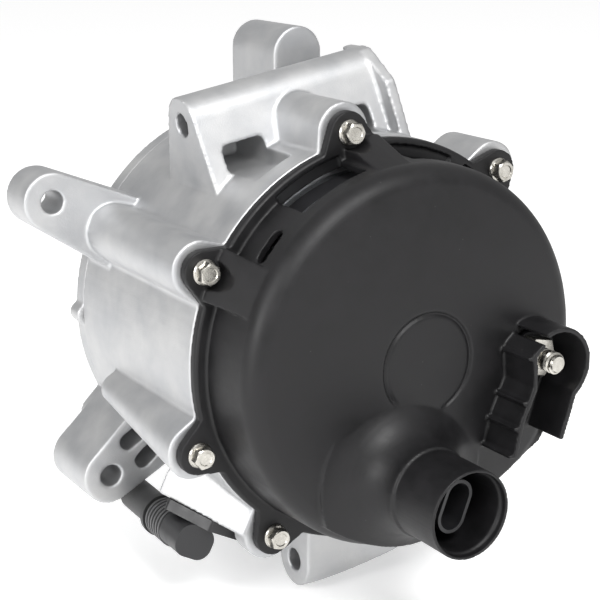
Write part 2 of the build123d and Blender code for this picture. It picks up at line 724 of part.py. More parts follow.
def bracket_bolts():
    """Flange bolts that hold the bracket to the rear housing."""
    bolts = []
    base = front_face + 2.0 - face_gap
    for number, angle in enumerate(bracket_bolt_angles):
        x, z = polar(bracket_bolt_circle, angle)
        shank = rod(bracket_bolt_shank, base - 0.01, base + bracket_bolt_length, x, z)
        flange = rod(screw_flange_radius, base - screw_flange_height, base, x, z)
        head = hexagon(screw_head_flats, base - screw_flange_height - screw_head_height,
                       base - screw_flange_height + 0.01, x, z, 17.0 * number)
        bolts.append(shank + flange + head)
    return group(bolts)


# ---- stator -------------------------------------------------------------------------------

def stator_core():
    """Laminated ring with slots open to the bore."""
    core = ring(stator_radius, stator_bore, stator_start, stator_end)
    slots = []
    for step in range(slot_count):
        angle = 360 / slot_count * step
        wide = block(stator_bore + 1.6, stator_bore + slot_depth, stator_start - 1, stator_end + 1,
                     -slot_width / 2, slot_width / 2)
        mouth = block(stator_bore - 2.0, stator_bore + 2.0, stator_start - 1, stator_end + 1, -1.1, 1.1)
        slots.append(about_shaft(wide + mouth, angle))
    return core.cut(*slots)


def stator_winding():
    """Copper in the slots and the two end turns, as one varnished body."""
    gap = slide_gap
    inner = stator_bore + 2.2
    bars = []
    for step in range(slot_count):
        bar = block(inner, stator_bore + slot_depth - 0.4, stator_start - 1, stator_end + 1,
                    -slot_width / 2 + gap, slot_width / 2 - gap)
        bars.append(about_shaft(bar, 360 / slot_count * step))
    front = end_turn(stator_start - gap - winding_overhang, stator_start - gap)
    rear = end_turn(stator_end + gap, stator_end + gap + winding_overhang)
    return front.fuse(rear, *bars)


def end_turn(y0, y1):
    """Rounded ring of end turns."""
    inner = stator_bore + 2.0
    outer = stator_radius - 2.0
    return turned([(inner + 2.0, y0), (outer - 2.0, y0), (outer, y0 + 2.0), (outer, y1 - 2.0),
                   (outer - 2.0, y1), (inner + 2.0, y1), (inner, y1 - 2.0), (inner, y0 + 2.0)])


# ---- rotor --------------------------------------------------------------------------------

def rotor_shaft():
    """Stepped steel shaft with its threaded front end."""
    rear_step = rear_bearing_start - 2.0
    return turned([
        (0, shaft_front), (shaft_radius - 1.0, shaft_front), (shaft_radius, shaft_front + 1.0),
        (shaft_radius, rear_step), (shaft_rear_radius, rear_step),
        (shaft_rear_radius, rear_bearing_end + 1.5),
        (slip_core_radius, rear_bearing_end + 1.5), (slip_core_radius, shaft_end), (0, shaft_end)])


def claw_pole(y_face, direction, turn):
    """One half of the rotor: a disc with six tapered claws and half of the core."""
    inner_face = y_face + direction * pole_disc
    centre = stator_middle
    tip = 2 * centre - y_face - direction * 1.5
    low, high = sorted((y_face, inner_face))
    disc = rod(coil_radius + 3.0, low, high)
    core = rod(core_radius, *sorted((inner_face, centre)))
    claws = []
    for step in range(claw_count):
        outline = make_face(Polyline((y_face, -15.0), (y_face, 15.0), (tip, 6.0), (tip, -6.0), close=True))
        prism = extrude(Plane.YZ * outline, 60.0)
        finger = prism & ring(rotor_radius, rotor_radius - claw_thickness, *sorted((y_face, tip)))
        root = prism & ring(rotor_radius, coil_radius - 2.0, low, high)
        claws.append(about_shaft(finger + root, 360 / claw_count * step + turn))
    pole = disc.fuse(core, *claws)
    return pole - rod(shaft_radius + press_gap, low - 60, high + 60)


def field_bobbin():
    """Plastic spool between the poles."""
    y0 = stator_middle - rotor_half_gap + face_gap
    y1 = stator_middle + rotor_half_gap - face_gap
    tube_wall = core_radius + press_gap + 1.4
    return turned([
        (core_radius + press_gap, y0), (coil_radius + 1.0, y0), (coil_radius + 1.0, y0 + 1.2),
        (tube_wall, y0 + 1.2), (tube_wall, y1 - 1.2), (coil_radius + 1.0, y1 - 1.2),
        (coil_radius + 1.0, y1), (core_radius + press_gap, y1)])


def field_coil():
    """Excitation winding on the spool."""
    y0 = stator_middle - rotor_half_gap + 1.2 + 2 * face_gap
    y1 = stator_middle + rotor_half_gap - 1.2 - 2 * face_gap
    return ring(coil_radius, core_radius + press_gap + 1.4 + face_gap, y0, y1)


def fan(y_pole, direction):
    """Sheet metal fan with swept blades, spot welded to a pole."""
    y_plate = y_pole + direction * fan_plate
    plate = ring(coil_radius, shaft_radius + 4.0, *sorted((y_pole + direction * face_gap, y_plate)))
    blades = []
    for step in range(fan_blades):
        y0, y1 = sorted((y_pole + direction * face_gap, y_plate + direction * fan_blade_height))
        blade = Pos(40.0, 0, 0) * Rot(0, 28.0 * direction, 0) * block(-9.0, 9.5, y0, y1, -0.8, 0.8)
        spread = 6.0 * (step % 3)
        blades.append(about_shaft(blade, 360 / fan_blades * step + spread))
    return plate.fuse(*blades) & rod(fan_radius, 0, seat)


def slip_ring_carrier():
    """Moulded sleeve that insulates the slip rings from the shaft."""
    inner = slip_core_radius + press_gap
    return ring(inner + slip_insulation, inner, rear_bearing_end + 2.0, shaft_end - 0.5)


def slip_ring(number):
    """One copper slip ring."""
    y0 = slip_ring_start + slip_ring_pitch * number
    inner = slip_core_radius + slip_insulation + 2 * press_gap
    return ring(slip_ring_radius, inner, y0, y0 + slip_ring_width)


# ---- pulley -------------------------------------------------------------------------------

def pulley():
    """Ribbed belt pulley with the recess for its nut."""
    y0 = -pulley_half
    y1 = pulley_half
    first = -groove_pitch * pulley_grooves / 2
    rim = [(pulley_radius, y0)]
    for step in range(pulley_grooves):
        start = first + groove_pitch * step
        rim += [(pulley_radius, start + 0.35),
                (pulley_radius - groove_depth, start + groove_pitch / 2 - 0.4),
                (pulley_radius - groove_depth, start + groove_pitch / 2 + 0.4),
                (pulley_radius, start + groove_pitch - 0.35)]
    rim += [(pulley_radius, y1)]
    bore = shaft_radius + press_gap
    recess = pulley_radius - groove_depth - pulley_wall
    points = [(bore, y1), (bore, y0 + pulley_recess), (recess, y0 + pulley_recess), (recess, y0)] + rim
    return turned(points)


def pulley_nut():
    """Hexagon nut in the pulley's recess."""
    y1 = -pulley_half + pulley_recess - face_gap
    nut = hexagon(nut_flats, y1 - nut_height, y1)
    return nut - rod(shaft_radius + running_gap, y1 - nut_height - 1, y1 + 1)


def shaft_spacer():
    """Collar between the pulley and the front bearing."""
    return ring(spacer_radius, shaft_radius + press_gap,
                pulley_half + face_gap, front_bearing_start - face_gap)


# ---- rectifier, regulator and brushes -----------------------------------------------------

def sector(inner, outer, start, end, y0, y1):
    """Part of a flat ring between two angles."""
    half = (end - start) / 2
    middle = (start + end) / 2
    points = [polar(inner, start), polar(outer, start), polar(outer, middle), polar(outer, end),
              polar(inner, end), polar(inner, middle)]
    face = make_face([Line(points[0], points[1]), ThreePointArc(points[1], points[2], points[3]),
                      Line(points[3], points[4]), ThreePointArc(points[4], points[5], points[0])])
    return slab(face, y0, y1)


def diode_plate(y0, y1, angles, holes):
    """Aluminium heat sink with pressed-in diodes."""
    plate = sector(plate_inner, plate_outer, plate_from, plate_to, y0, y1)
    for angle in angles:
        plate = plate - rod(diode_radius + press_gap, y0 - 1, y1 + 1, *polar(diode_circle, angle))
    for angle in plate_screw_angles:
        plate = plate - rod(plate_screw_radius + 0.3, y0 - 1, y1 + 1, *polar(plate_screw_circle, angle))
    for x, z, radius in holes:
        plate = plate - rod(radius, y0 - 1, y1 + 1, x, z)
    return plate


def diodes(angles, y0, direction):
    """Button diodes with their leads."""
    buttons = []
    for angle in angles:
        x, z = polar(diode_circle, angle)
        end = y0 + direction * diode_height
        tip = end + direction * 1.6
        body = rod(diode_radius, *sorted((y0, end)), x, z)
        lead = rod(0.7, *sorted((end - direction * 0.1, tip)), x, z)
        buttons.append(body + lead)
    return group(buttons)


def terminal_block():
    """Moulded lead frame that keeps the two plates apart."""
    frame = sector(block_inner, plate_outer, plate_from, plate_to, negative_rear + face_gap,
                   positive_front - face_gap)
    for angle in plate_screw_angles:
        frame = frame - rod(plate_screw_radius + 0.3, negative_rear, positive_front,
                            *polar(plate_screw_circle, angle))
    return frame


def plate_screws():
    """Screws through both plates into the rear wall."""
    screws = []
    base = positive_rear + face_gap
    for angle in plate_screw_angles:
        x, z = polar(plate_screw_circle, angle)
        shank = rod(plate_screw_radius, rear_wall_front + 0.5, base + 0.01, x, z)
        head = rod(3.6, base, base + 2.4, x, z) - rod(1.3, base + 1.2, base + 3.0, x, z)
        screws.append(shank + head)
    return group(screws)


def output_stud():
    """Threaded output terminal that stands on the positive plate."""
    base = positive_front - stud_head_height
    top = flange_top + stud_top
    shank = turned([(0, base), (mated_radius, base), (mated_radius, nut_top), (stud_radius, nut_top),
                    (stud_radius, top - 0.8), (stud_radius - 0.8, top), (0, top)], stud_x, stud_z)
    return shank + rod(stud_head_radius, base, positive_front - face_gap, stud_x, stud_z)


def stud_nut():
    """Nut that clamps the stud to the cover."""
    nut = hexagon(stud_nut_flats, nut_base, nut_top, stud_x, stud_z, 12.0)
    return nut - rod(mated_radius + running_gap, nut_base - 1, nut_top + 1, stud_x, stud_z)


def stud_washer():
    """Insulating washer under the nut."""
    base = stud_seat + face_gap
    return ring(8.0, stud_radius + 0.2, base, base + washer_thickness, stud_x, stud_z)


def brush_slot(number, grow):
    """Guide of one brush: half sizes across X and Y, and its place along the shaft."""
    middle = slip_ring_start + slip_ring_pitch * number + slip_ring_width / 2
    return brush_width / 2 + grow, brush_depth / 2 + grow, middle


def brush_holder():
    """Moulded holder with one guide for each brush."""
    y0 = slip_ring_start - 1.6
    y1 = slip_ring_start + slip_ring_pitch + slip_ring_width + 1.6
    body = block(-holder_half_width, holder_half_width, y0, y1, holder_bottom, holder_top)
    for number in (0, 1):
        half_x, half_y, middle = brush_slot(number, slide_gap)
        body = body - block(-half_x, half_x, middle - half_y, middle + half_y,
                            holder_bottom + 2.0, holder_top + 1)
    return body


def brush(number):
    """Carbon brush with its end worn to the slip ring."""
    half_x, half_y, middle = brush_slot(number, 0)
    top = -slip_ring_radius + 1.2
    body = block(-half_x, half_x, middle - half_y, middle + half_y, top - brush_length, top)
    return body - rod(slip_ring_radius + running_gap, middle - 10, middle + 10)


def brush_spring(number):
    """Helical spring behind one brush."""
    middle = brush_slot(number, 0)[2]
    top = -slip_ring_radius + 1.2 - brush_length - 0.1 - brush_spring_wire
    bottom = holder_bottom + 2.1 + brush_spring_wire
    height = top - bottom
    path = Helix(pitch=height / 7, height=height, radius=brush_spring_radius)
    wire = sweep(Plane(origin=path @ 0, z_dir=path % 0) * Circle(brush_spring_wire), path, is_frenet=True)
    return Pos(0, middle, bottom) * wire


def regulator():
    """Regulator body with cooling fins, below the brush holder."""
    body = block(-regulator_half_width, regulator_half_width, regulator_front, regulator_rear - 4.0,
                 regulator_bottom, regulator_top)
    fins = [block(-regulator_half_width + 6.0 * step, -regulator_half_width + 6.0 * step + 1.6,
                  regulator_rear - 4.1, regulator_rear, regulator_bottom + 2, regulator_top - 2)
            for step in range(8)]
    body = body.fuse(*fins) & rod(plate_outer, 0, dome_middle)
    body = body - tool_flat(-cover_wall - clear_gap, 40.0)
    return body - slab(guard_outline(1.0), regulator_front + 4.0, regulator_rear + 1)


def oval_connector():
    """Oval socket that rises from the regulator into the round port."""
    top = flange_top + guard_top
    base = regulator_front + 4.0 + face_gap
    body = slab(guard_outline(0), base, top)
    return body - slab(guard_outline(-guard_wall), base + 22.0, top + 1)


def oval_terminals():
    """Blade terminals inside the oval socket."""
    blades = []
    for step in range(4):
        offset = -5.25 + 3.5 * step
        spot = Pos(port_x, 0, port_z) * Rot(0, -(90 + guard_turn), 0)
        blade = block(offset - 0.9, offset + 0.9, regulator_front + 26.0 + face_gap,
                      flange_top + guard_top - 9.0, -0.4, 0.4)
        blades.append(spot * blade)
    return group(blades)


# ---- side connector -----------------------------------------------------------------------

def plug_frame(shape):
    """Place a shape drawn under the seat: X along the seat, Y along the shaft, skewed a little."""
    skewed = Pos(plug_middle, plug_rear, 0) * Rot(0, 0, plug_skew) * shape
    return about_shaft(skewed, plug_turn)


def plug_base():
    """Mounting plate of the side connector."""
    slope = (plug_seat_right - plug_seat_narrow) / (seat - plug_seat_front)
    corner = plug_seat_right - slope * (plug_base_rear - plug_seat_front)
    front = plug_seat_front + plug_base_setback
    outline = make_face(Polyline((plug_base_left, front), (plug_seat_right - 1.0, front),
                                 (corner, plug_base_rear), (plug_base_left, plug_base_rear), close=True))
    sheet = Pos(0, 0, plug_seat_z - plug_plate + face_gap) * extrude(outline, plug_plate - 2 * face_gap)
    return about_shaft(fillet(sheet.edges().filter_by(Axis.Z), 1.5), plug_turn)


def plug_body():
    """Rounded plug body that hangs under the plate."""
    outline = Pos(0, plug_axis_z) * RectangleRounded(plug_width, plug_height - 2 * face_gap, 5.0)
    return plug_frame(slab(outline, -plug_length, 0))


def plug_collar():
    """Ribbed grip between the plug body and the boot."""
    y0 = -plug_length - plug_collar_length
    parts = [rod(plug_collar_radius - 1.0, y0, -plug_length - face_gap, 0, plug_axis_z)]
    for step in range(plug_ribs):
        start = -plug_length - 1.2 - plug_rib_pitch * step
        parts.append(rod(plug_collar_radius, start - 1.1, start, 0, plug_axis_z))
    return plug_frame(together(parts))


def plug_boot():
    """Rubber boot that closes the cable side of the plug."""
    y1 = -plug_length - plug_collar_length - face_gap
    y0 = y1 - plug_boot_length
    profile = [(0, y0), (plug_boot_radius - 1.6, y0), (plug_boot_radius, y0 + 2.0),
               (plug_boot_radius, y1 - 3.0),
               (plug_boot_radius + 1.8, y1 - 2.4), (plug_boot_radius + 1.8, y1), (0, y1)]
    boot = revolve(make_face(Polyline(*profile, close=True)), axis=Axis.Y)
    return plug_frame(Pos(0, 0, plug_axis_z) * boot)


def export(name, shape):
    """Write one node."""
    export_step(shape, os.path.join("parts", name + ".step"))
    print(name, round(shape.volume), len(shape.solids()))


def main():
    os.makedirs("parts", exist_ok=True)
    export("rear_housing", rear_housing())
    export("drive_end_bracket", drive_end_bracket())
    export("rear_cover", rear_cover())
    export("cover_screws", cover_screws())
    export("bracket_bolts", bracket_bolts())
    export("stator_core", stator_core())
    export("stator_winding", stator_winding())
    front = bearing(shaft_radius, front_bearing_outer, front_bearing_start, front_bearing_width)
    rear = bearing(shaft_rear_radius, rear_bearing_outer, rear_bearing_start, rear_bearing_width)
    for place, pieces in (("front", front), ("rear", rear)):
        for piece, shape in zip(("inner_race", "outer_race", "balls", "cage"), pieces):
            export(place + "_bearing_" + piece, shape)
    export("rear_bearing_sleeve", ring(rear_bearing_outer + sleeve_wall, rear_bearing_outer + press_gap,
                                       rear_bearing_start, rear_bearing_end))
    export("bearing_retainer", bearing_retainer())
    export("retainer_screws", retainer_screws())
    export("rotor_shaft", rotor_shaft())
    export("front_claw_pole", claw_pole(pole_front, 1, 0.0))
    export("rear_claw_pole", claw_pole(pole_rear, -1, 180.0 / claw_count))
    export("field_bobbin", field_bobbin())
    export("field_coil", field_coil())
    export("front_fan", fan(pole_front, -1))
    export("rear_fan", fan(pole_rear, 1))
    export("slip_ring_carrier", slip_ring_carrier())
    export("slip_ring_front", slip_ring(0))
    export("slip_ring_rear", slip_ring(1))
    export("pulley", pulley())
    export("pulley_nut", pulley_nut())
    export("shaft_spacer", shaft_spacer())
    export("negative_diode_plate", diode_plate(negative_front, negative_rear, negative_diode_angles, []))
    export("positive_diode_plate", diode_plate(positive_front, positive_rear, positive_diode_angles,
                                               [(stud_x, stud_z, mated_radius + running_gap)]))
    export("negative_diodes", diodes(negative_diode_angles, negative_front, 1))
    export("positive_diodes", diodes(positive_diode_angles, positive_rear, -1))
    export("terminal_block", terminal_block())
    export("plate_screws", plate_screws())
    export("output_stud", output_stud())
    export("stud_nut", stud_nut())
    export("stud_washer", stud_washer())
    export("brush_holder", brush_holder())
    for number, place in enumerate(("front", "rear")):
        export("brush_" + place, brush(number))
        export("brush_spring_" + place, brush_spring(number))
    export("regulator", regulator())
    export("oval_connector", oval_connector())
    export("oval_terminals", oval_terminals())
    export("plug_base", plug_base())
    export("plug_body", plug_body())
    export("plug_collar", plug_collar())
    export("plug_boot", plug_boot())


if __name__ == "__main__":
    main()
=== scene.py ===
import json
import math

import bmesh
import bpy
from mathutils import Matrix, Vector


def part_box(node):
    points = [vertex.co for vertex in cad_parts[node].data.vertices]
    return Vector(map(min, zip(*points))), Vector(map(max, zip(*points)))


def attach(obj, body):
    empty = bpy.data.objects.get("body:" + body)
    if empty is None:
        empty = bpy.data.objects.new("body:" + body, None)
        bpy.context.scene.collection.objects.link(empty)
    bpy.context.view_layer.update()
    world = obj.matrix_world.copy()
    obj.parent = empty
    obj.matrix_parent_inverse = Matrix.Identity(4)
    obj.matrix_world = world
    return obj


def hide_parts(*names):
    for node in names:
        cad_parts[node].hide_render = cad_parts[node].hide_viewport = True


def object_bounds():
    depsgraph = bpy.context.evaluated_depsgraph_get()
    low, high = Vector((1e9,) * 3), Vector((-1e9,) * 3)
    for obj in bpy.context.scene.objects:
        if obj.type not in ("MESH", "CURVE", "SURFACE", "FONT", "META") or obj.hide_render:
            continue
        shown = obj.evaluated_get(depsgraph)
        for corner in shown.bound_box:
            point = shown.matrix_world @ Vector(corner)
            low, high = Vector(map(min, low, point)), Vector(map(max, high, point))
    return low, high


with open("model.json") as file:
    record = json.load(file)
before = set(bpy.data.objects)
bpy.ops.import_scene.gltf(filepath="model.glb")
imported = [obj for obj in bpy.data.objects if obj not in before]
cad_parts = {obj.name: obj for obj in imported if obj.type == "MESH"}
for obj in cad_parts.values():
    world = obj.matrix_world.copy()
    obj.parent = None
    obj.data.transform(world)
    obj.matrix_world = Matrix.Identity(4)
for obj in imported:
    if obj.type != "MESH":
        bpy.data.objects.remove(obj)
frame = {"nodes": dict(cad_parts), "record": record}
cadBox = [list(corner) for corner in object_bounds()]
print("frame loaded:", len(frame["nodes"]), "nodes")

mm = 0.001
scene = bpy.context.scene


# ---- small helpers

def linear(hexColour):
    # sRGB hex to linear colour
    channels = [int(hexColour[i:i + 2], 16) / 255 for i in (1, 3, 5)]
    return [c / 12.92 if c <= 0.04045 else ((c + 0.055) / 1.055) ** 2.4 for c in channels] + [1.0]


def addNode(tree, kind, inputs=None, **settings):
    # one node with its settings; an input is a value or the socket that feeds it
    node = tree.nodes.new(kind)
    for key, value in settings.items():
        setattr(node, key, value)
    for key, value in (inputs or {}).items():
        if isinstance(value, bpy.types.NodeSocket):
            tree.links.new(value, node.inputs[key])
        else:
            node.inputs[key].default_value = value
    return node


def newObject(name, mesh):
    piece = bpy.data.objects.new(name, mesh)
    scene.collection.objects.link(piece)
    return piece


def frozen(piece):
    # the modifiers' result becomes the plain mesh of the same object
    bpy.context.view_layer.update()
    seen = piece.evaluated_get(bpy.context.evaluated_depsgraph_get())
    mesh = bpy.data.meshes.new_from_object(seen)
    piece.modifiers.clear()
    piece.data = mesh
    return piece


def turnedMesh(name, profile, steps=96):
    # solid of revolution about +Y from (radius, y) points in millimetres, outside first
    bm = bmesh.new()
    rings = []
    for radius, y in profile:
        if radius == 0:
            rings.append([bm.verts.new((0, y * mm, 0))])
            continue
        rings.append([bm.verts.new((radius * mm * math.cos(2 * math.pi * i / steps), y * mm,
                                    radius * mm * math.sin(2 * math.pi * i / steps))) for i in range(steps)])
    joinRings(bm, rings, steps)
    mesh = bpy.data.meshes.new(name)
    bm.to_mesh(mesh)
    bm.free()
    return mesh


def joinRings(bm, rings, steps):
    for low, high in zip(rings[:-1], rings[1:]):
        for i in range(steps):
            j = (i + 1) % steps
            corners = [low[i % len(low)], low[j % len(low)], high[j % len(high)], high[i % len(high)]]
            unique = list(dict.fromkeys(corners))
            if len(unique) > 2:
                bm.faces.new(unique)
    bmesh.ops.recalc_face_normals(bm, faces=bm.faces)


def smooth(piece, degrees=30):
    piece.data.shade_smooth()
    piece.data.set_sharp_from_angle(angle=math.radians(degrees))


# ---- materials

grain = {
    "cast": 0.55 * mm,       # shot-blast grain of the die castings
    "flow": 14 * mm,         # flow marks of the casting
    "moulded": 0.5 * mm,     # spark-eroded mould texture
    "mottle": 9 * mm,        # uneven gloss of glass-filled nylon
    "zinc": 0.6 * mm,
    "lamination": 1.0 * mm,  # sheets are 0.5 mm: drawn twice as thick, to show
    "wire": 1.3 * mm,
}


def newMaterial(name):
    material = bpy.data.materials.new(name)
    material.use_nodes = True
    tree = material.node_tree
    shader = tree.nodes["Principled BSDF"]
    place = addNode(tree, "ShaderNodeTexCoord").outputs["Object"]
    return material, tree, shader, place


def setShader(shader, **values):
    for key, value in values.items():
        shader.inputs[key.replace("_", " ")].default_value = value


def noise(tree, place, size, detail=3.0, roughness=0.55):
    return addNode(tree, "ShaderNodeTexNoise", {"Vector": place, "Scale": 1 / size, "Detail": detail,
                                                "Roughness": roughness}).outputs["Fac"]


def rangeOf(tree, value, low, high, fromLow=0.3, fromHigh=0.7):
    return addNode(tree, "ShaderNodeMapRange", {"Value": value, "From Min": fromLow, "From Max": fromHigh,
                                                "To Min": low, "To Max": high}).outputs["Result"]


def mixed(tree, factor, first, second):
    return addNode(tree, "ShaderNodeMix", {0: factor, 6: first, 7: second}, data_type="RGBA").outputs[2]


def bumped(tree, shader, height, depth, strength=1.0, under=None):
    inputs = {"Height": height, "Distance": depth, "Strength": strength}
    if under is not None:
        inputs["Normal"] = under
    bump = addNode(tree, "ShaderNodeBump", inputs)
    tree.links.new(bump.outputs["Normal"], shader.inputs["Normal"])
    return bump.outputs["Normal"]


def castAluminium():
    # die-cast aluminium, shot-blasted: bright and satin, with a fine grain and faint flow marks
    material, tree, shader, place = newMaterial("dieCastAluminium")
    setShader(shader, Metallic=1.0)
    flow = noise(tree, place, grain["flow"], 4.0)
    fine = noise(tree, place, grain["cast"], 2.0)
    tint = mixed(tree, rangeOf(tree, flow, 0.0, 1.0), linear("#B3B4B6"), linear("#C5C5C5"))
    tree.links.new(tint, shader.inputs["Base Color"])
    tree.links.new(rangeOf(tree, flow, 0.50, 0.58), shader.inputs["Roughness"])
    wide = bumped(tree, shader, flow, 0.10 * mm, 0.2)
    bumped(tree, shader, fine, 0.06 * mm, 0.9, wide)
    return material


def mouldedNylon():
    # glass-filled nylon 66, moulded matte black: dull, a little mottled, with pale dust in the texture
    material, tree, shader, place = newMaterial("glassFilledNylon")
    mottle = noise(tree, place, grain["mottle"], 6.0, 0.65)
    fine = noise(tree, place, grain["moulded"], 2.0)
    body = mixed(tree, rangeOf(tree, mottle, 0.0, 1.0), linear("#0B0B0C"), linear("#141315"))
    specks = addNode(tree, "ShaderNodeTexVoronoi", {"Vector": place, "Scale": 1 / (7 * mm)}, feature="F1")
    dust = rangeOf(tree, specks.outputs["Distance"], 0.45, 0.0, 0.0, 0.045)
    tree.links.new(mixed(tree, dust, body, linear("#555454")), shader.inputs["Base Color"])
    tree.links.new(rangeOf(tree, mottle, 0.42, 0.56), shader.inputs["Roughness"])
    setShader(shader, IOR=1.5, Specular_IOR_Level=0.34)
    wide = bumped(tree, shader, mottle, 0.10 * mm, 0.5)
    bumped(tree, shader, fine, 0.03 * mm, 0.7, wide)
    return material


def mouldedPlastic(name, dark, light, rough):
    # PBT and phenolic mouldings: smoother than nylon, with a low even sheen
    material, tree, shader, place = newMaterial(name)
    mottle = noise(tree, place, 5 * mm, 4.0)
    fine = noise(tree, place, 0.4 * mm, 2.0)
    tree.links.new(mixed(tree, mottle, linear(dark), linear(light)), shader.inputs["Base Color"])
    tree.links.new(rangeOf(tree, mottle, rough - 0.05, rough + 0.07), shader.inputs["Roughness"])
    setShader(shader, IOR=1.5)
    bumped(tree, shader, fine, 0.02 * mm, 0.6)
    return material


def plainMetal(name, dark, light, rough, spread, size, depth):
    # bare or plated metal: colour and gloss drift with a grain of the given size
    material, tree, shader, place = newMaterial(name)
    setShader(shader, Metallic=1.0)
    drift = noise(tree, place, size * 6, 4.0)
    fine = noise(tree, place, size, 3.0)
    tree.links.new(mixed(tree, rangeOf(tree, drift, 0.0, 1.0), linear(dark), linear(light)),
                   shader.inputs["Base Color"])
    tree.links.new(rangeOf(tree, fine, rough, rough + spread), shader.inputs["Roughness"])
    bumped(tree, shader, fine, depth, 0.6)
    return material


def laminations():
    # varnished electrical steel sheets, stacked along the shaft
    material, tree, shader, place = newMaterial("varnishedLaminations")
    setShader(shader, Metallic=0.85, Coat_Weight=0.25, Coat_Roughness=0.3)
    sheets = addNode(tree, "ShaderNodeTexWave", {"Vector": place, "Scale": 1 / grain["lamination"] / 20,
                                                 "Distortion": 0.0}, bands_direction="Y")
    tree.links.new(mixed(tree, sheets.outputs["Fac"], linear("#3C4044"), linear("#6A6E73")),
                   shader.inputs["Base Color"])
    tree.links.new(rangeOf(tree, noise(tree, place, 4 * mm), 0.35, 0.55), shader.inputs["Roughness"])
    bumped(tree, shader, sheets.outputs["Fac"], 0.08 * mm, 0.8)
    return material


def enamelledCopper():
    # enamelled magnet wire under varnish: deep amber copper with a clear coat
    material, tree, shader, place = newMaterial("enamelledCopper")
    setShader(shader, Metallic=0.9, Coat_Weight=0.5, Coat_Roughness=0.15)
    wires = addNode(tree, "ShaderNodeTexWave", {"Vector": place, "Scale": 1 / grain["wire"] / 20,
                                                "Distortion": 2.0, "Detail": 1.0}, bands_direction="DIAGONAL")
    tree.links.new(mixed(tree, wires.outputs["Fac"], linear("#6E2C14"), linear("#B4622F")),
                   shader.inputs["Base Color"])
    tree.links.new(rangeOf(tree, noise(tree, place, 3 * mm), 0.28, 0.45), shader.inputs["Roughness"])
    bumped(tree, shader, wires.outputs["Fac"], 0.15 * mm, 0.8)
    return material


def rubber(name, dark, light, rough):
    # moulded rubber or silicone: dull, with bloom and a soft sheen at grazing angles
    material, tree, shader, place = newMaterial(name)
    bloom = noise(tree, place, 6 * mm, 5.0, 0.6)
    fine = noise(tree, place, 0.3 * mm, 2.0)
    tree.links.new(mixed(tree, rangeOf(tree, bloom, 0.0, 1.0), linear(dark), linear(light)),
                   shader.inputs["Base Color"])
    tree.links.new(rangeOf(tree, bloom, rough, rough + 0.12), shader.inputs["Roughness"])
    setShader(shader, IOR=1.52, Sheen_Weight=0.15, Sheen_Roughness=0.5)
    bumped(tree, shader, fine, 0.03 * mm, 0.5)
    return material


finishes = {
    "cast_aluminium": castAluminium(),
    "black_plastic": mouldedNylon(),
    "dark_plastic": mouldedPlastic("mouldedPolyester", "#19191B", "#232325", 0.42),
    "zinc_steel": plainMetal("zincPlatedSteel", "#A5A29B", "#C6C3BC", 0.22, 0.16, grain["zinc"], 0.02 * mm),
    "lamination_steel": laminations(),
    "copper_winding": enamelledCopper(),
    "bearing_steel": plainMetal("groundBearingSteel", "#A6A9AE", "#B8BBBF", 0.12, 0.08, 0.5 * mm, 0.005 * mm),
    "cage_brass": plainMetal("pressedBrass", "#9C7A3C", "#B8924A", 0.28, 0.12, 0.8 * mm, 0.02 * mm),
    "forged_steel": plainMetal("forgedSteel", "#3E3F42", "#5A5B5E", 0.42, 0.2, 1.6 * mm, 0.12 * mm),
    "ring_copper": plainMetal("turnedCopper", "#A8603A", "#C07C52", 0.2, 0.12, 0.5 * mm, 0.01 * mm),
    "pulley_steel": plainMetal("blackOxideSteel", "#1C1D20", "#33353A", 0.32, 0.16, 0.9 * mm, 0.02 * mm),
    "plate_aluminium": plainMetal("stampedAluminium", "#B2B5B9", "#CFD1D3", 0.26, 0.14, 0.9 * mm, 0.02 * mm),
    "brush_carbon": mouldedPlastic("copperGraphite", "#26211F", "#3B322D", 0.5),
    "spring_steel": plainMetal("springWire", "#808388", "#9A9DA2", 0.2, 0.1, 0.4 * mm, 0.01 * mm),
    "tin_brass": plainMetal("tinPlatedBrass", "#B9B4A2", "#D2CDBC", 0.22, 0.14, 0.5 * mm, 0.01 * mm),
    "grey_seal": rubber("siliconeSeal", "#3D3D3E", "#4D4D4E", 0.5),
    "boot_rubber": rubber("mouldedRubber", "#151516", "#232324", 0.55),
}

for part in frame["record"]["subparts"]:
    piece = frame["nodes"][part["node"]]
    piece.data.materials.clear()
    piece.data.materials.append(finishes[part["material_slot"]])
print("materials:", len(finishes))


# ---- castings and the cover, with the soft edges of a casting or a moulding

soften = {  # voxel size in mm, passes of smoothing, most triangles
    "rear_housing": ("castHousing", 0.62, 4, 190000),
    "drive_end_bracket": ("castBracket", 0.8, 3, 110000),
    "rear_cover": ("mouldedCover", 0.5, 2, 190000),
}


def softCopy(node):
    name, voxel, passes, limit = soften[node]
    source = frame["nodes"][node]
    bm = bmesh.new()
    bm.from_mesh(source.data)
    bmesh.ops.remove_doubles(bm, verts=bm.verts, dist=0.001 * mm)
    mesh = bpy.data.meshes.new(name)
    bm.to_mesh(mesh)
    bm.free()
    piece = newObject(name, mesh)
    remesh = piece.modifiers.new("voxels", "REMESH")
    remesh.mode = "VOXEL"
    remesh.voxel_size = voxel * mm
    rounding = piece.modifiers.new("rounding", "SMOOTH")
    rounding.iterations = passes
    frozen(piece)
    triangles = 2 * len(piece.data.polygons)
    if triangles > limit:
        thinning = piece.modifiers.new("thinning", "DECIMATE")
        thinning.ratio = limit / triangles
        frozen(piece)
    piece.data.materials.clear()
    piece.data.materials.append(source.data.materials[0])
    piece.data.shade_smooth()
    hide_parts(node)
    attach(piece, "casing")
    print(name, triangles, "triangles before thinning")
    return piece


softPieces = {node: softCopy(node) for node in soften}


# ---- flange screws

flangeScrew = {"flats": 7.0, "head": 3.6, "flange": 4.5, "flangeHeight": 1.0, "shank": 2.5, "dish": 0.35}


